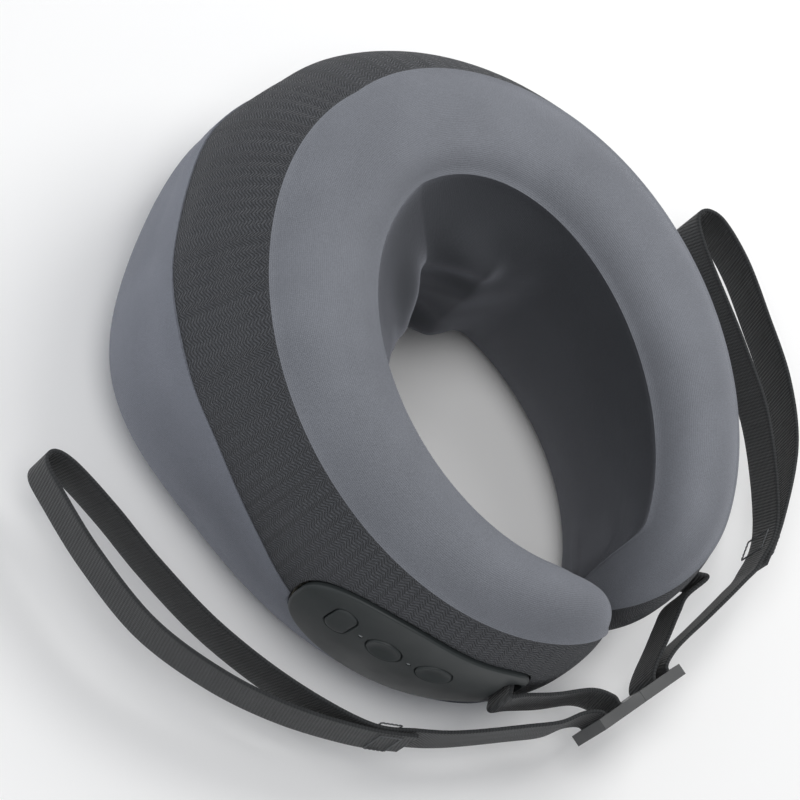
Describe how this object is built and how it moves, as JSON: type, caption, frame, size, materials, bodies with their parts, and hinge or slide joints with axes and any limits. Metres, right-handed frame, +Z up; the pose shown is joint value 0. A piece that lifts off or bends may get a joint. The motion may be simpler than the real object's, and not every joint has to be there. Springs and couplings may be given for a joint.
{
  "type": "shiatsu neck massager",
  "caption": "U-shaped knit-covered neck pillow with motor-driven kneading heads in its thick nape, a button panel on one arm, and clasped webbing straps with hand loops.",
  "frame": {"origin": "on the resting plane, under the middle of the whole object's box, on the pillow's plane of symmetry", "axes": "+X across the pillow, from the arm with the control panel to the other; +Y from the arm tips to the nape; +Z up through the ring, out of its front face"},
  "size_m": [0.3648, 0.329, 0.1719],
  "materials": {
    "ring_knit": "fine knit",
    "band_knit": "ribbed mesh knit",
    "back_knit": "fine knit",
    "liner_knit": "smooth stretch knit",
    "foam": "polyurethane foam",
    "black_plastic": "moulded",
    "case_plastic": "moulded",
    "zinc_steel": "zinc plated",
    "bright_steel": "ground",
    "gear_plastic": "acetal",
    "bronze": "sintered",
    "head_plastic": "moulded",
    "board": "solder mask",
    "cell_wrap": "shrink wrap",
    "panel_plastic": "soft touch",
    "button_rubber": "silicone",
    "light_pipe": "clear",
    "webbing": "ribbed webbing",
    "thread": "thread",
    "clasp_plastic": "moulded"
  },
  "bodies": {
    "root": {"front_cover": "ring_knit", "side_band": "band_knit", "back_cover": "back_knit", "inner_liner": "liner_knit", "foam_arm_left": "foam", "foam_arm_right": "foam", "nape_foam": "foam", "housing_rear": "black_plastic", "housing_front": "black_plastic", "gearbox_base": "case_plastic", "gearbox_cover": "case_plastic", "motor_can": "zinc_steel", "motor_bracket": "zinc_steel", "axle_bearings": "bronze", "gearbox_screws": "bright_steel", "main_board": "board", "battery_cells": "cell_wrap", "battery_tray": "black_plastic", "control_panel": "panel_plastic", "panel_tray": "black_plastic", "button_board": "board", "dome_switches": "bright_steel", "indicator_lights": "light_pipe", "charge_port": "black_plastic", "strap_anchor_left": "black_plastic", "strap_anchor_right": "black_plastic", "strap_left": "webbing", "strap_right": "webbing", "hand_loop_left": "webbing", "loop_stitch_left": "thread", "clasp_left": "clasp_plastic"},
    "knead_left": {"worm_wheel_left": "gear_plastic", "axle_left": "bright_steel", "kneading_arm_left": "case_plastic"},
    "knead_right": {"worm_wheel_right": "gear_plastic", "axle_right": "bright_steel", "kneading_arm_right": "case_plastic"},
    "head_1": {"massage_head_1": "head_plastic"},
    "head_2": {"massage_head_2": "head_plastic"},
    "head_3": {"massage_head_3": "head_plastic"},
    "head_4": {"massage_head_4": "head_plastic"},
    "worm_drive": {"motor_shaft": "bright_steel"},
    "power_key": {"power_button": "button_rubber"},
    "mode_key": {"mode_button": "button_rubber"},
    "heat_key": {"heat_button": "button_rubber"},
    "clasp_half": {"clasp_right": "clasp_plastic", "hand_loop_right": "webbing", "loop_stitch_right": "thread"}
  },
  "joints": [
    {"name": "kneading_left", "type": "hinge", "parent": "root", "child": "knead_left", "pos_m": [-0.03377, 0.0786, 0.08], "axis": [-0.5446, 0.8387, 0], "continuous": true},
    {"name": "kneading_right", "type": "hinge", "parent": "root", "child": "knead_right", "pos_m": [0.03377, 0.0786, 0.08], "axis": [0.5446, 0.8387, 0], "continuous": true},
    {"name": "worm_turn", "type": "hinge", "parent": "root", "child": "worm_drive", "pos_m": [0, 0.1006, 0.08], "axis": [0, 0, 1], "continuous": true},
    {"name": "head_1_spin", "type": "hinge", "parent": "knead_left", "child": "head_1", "pos_m": [-0.00921, 0.06832, 0.08], "axis": [-0.5446, 0.8387, 0], "continuous": true},
    {"name": "head_2_spin", "type": "hinge", "parent": "knead_left", "child": "head_2", "pos_m": [-0.03437, 0.05198, 0.08], "axis": [-0.5446, 0.8387, 0], "continuous": true},
    {"name": "head_3_spin", "type": "hinge", "parent": "knead_right", "child": "head_3", "pos_m": [0.02179, 0.06015, 0.065], "axis": [0.5446, 0.8387, 0], "continuous": true},
    {"name": "head_4_spin", "type": "hinge", "parent": "knead_right", "child": "head_4", "pos_m": [0.02179, 0.06015, 0.095], "axis": [0.5446, 0.8387, 0], "continuous": true},
    {"name": "power_press", "type": "slide", "parent": "root", "child": "power_key", "axis": [0.9295, 0.365, -0.0525], "range_m": [0, 0.001], "stiffness_N_per_m": 600},
    {"name": "mode_press", "type": "slide", "parent": "root", "child": "mode_key", "axis": [0.868, 0.4941, -0.0485], "range_m": [0, 0.001], "stiffness_N_per_m": 600},
    {"name": "heat_press", "type": "slide", "parent": "root", "child": "heat_key", "axis": [0.769, 0.6378, -0.0435], "range_m": [0, 0.001], "stiffness_N_per_m": 600},
    {"name": "clasp_release", "type": "slide", "parent": "root", "child": "clasp_half", "axis": [1, 0, 0], "range_m": [0, 0.01], "deforming": ["strap_right"]}
  ],
  "couplings": [
    {"joint": "kneading_left", "follows": "worm_turn", "ratio": 0.041667},
    {"joint": "kneading_right", "follows": "worm_turn", "ratio": -0.041667}
  ]
}
